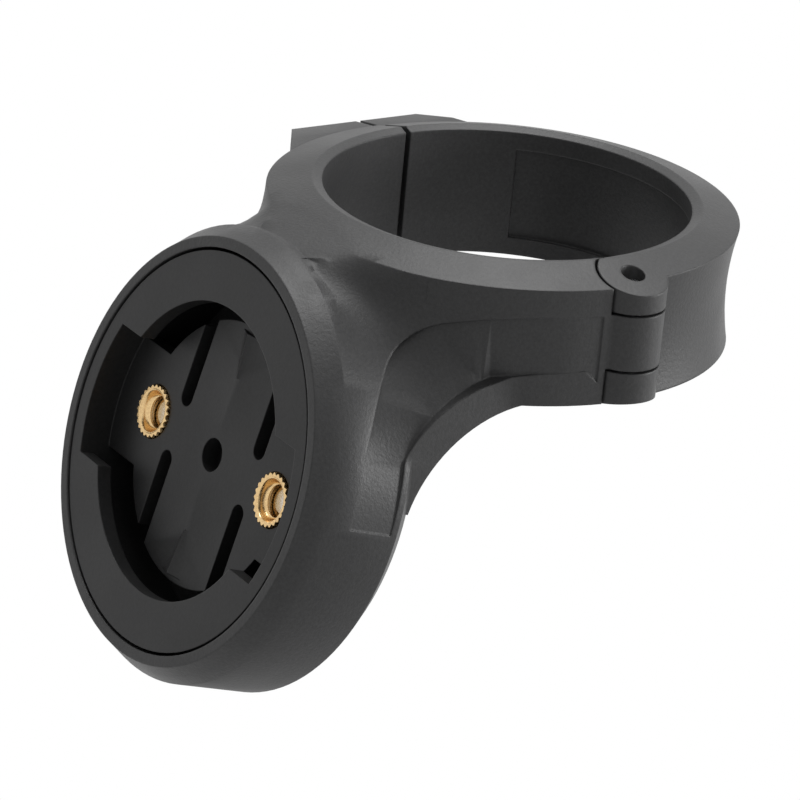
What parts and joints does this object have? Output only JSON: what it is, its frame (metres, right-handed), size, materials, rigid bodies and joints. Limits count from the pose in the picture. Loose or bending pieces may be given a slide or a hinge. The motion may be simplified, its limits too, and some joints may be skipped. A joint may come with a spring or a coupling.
{
  "type": "bike computer mount",
  "caption": "Hinged tube clamp with a bent arm that carries a round quarter-turn socket for a bike computer.",
  "frame": {"origin": "centre of the clamp bore, on its axis at the clamp's mid-height", "axes": "+Z along the tube, -Y forward to the socket, +X to the hinge side"},
  "size_m": [0.0464, 0.056, 0.0412],
  "materials": {
    "nylon_body": "fine spark-eroded texture",
    "nylon_insert": "smooth satin",
    "steel": "bright",
    "brass": "turned and knurled"
  },
  "bodies": {
    "bracket": {"bracket": "nylon_body", "socket_insert": "nylon_insert", "brass_insert_left": "brass", "brass_insert_right": "brass", "insert_screw_left": "steel", "insert_screw_right": "steel", "hinge_pin": "steel"},
    "gate": {"clamp_gate": "nylon_body", "clamp_nut": "steel"},
    "bolt": {"clamp_bolt": "steel"}
  },
  "joints": [
    {"name": "gate_swing", "type": "hinge", "parent": "bracket", "child": "gate", "pos_m": [0.0191, 0, 0], "axis": [0, 0, -1], "range_deg": [0, 95]},
    {"name": "bolt_backout", "type": "slide", "parent": "bracket", "child": "bolt", "axis": [0, -1, 0], "range_m": [0, 0.024]}
  ],
  "couplings": [
    {"joint": "bolt_backout", "follows": "gate_swing", "m_per_rad": 0.01447}
  ]
}
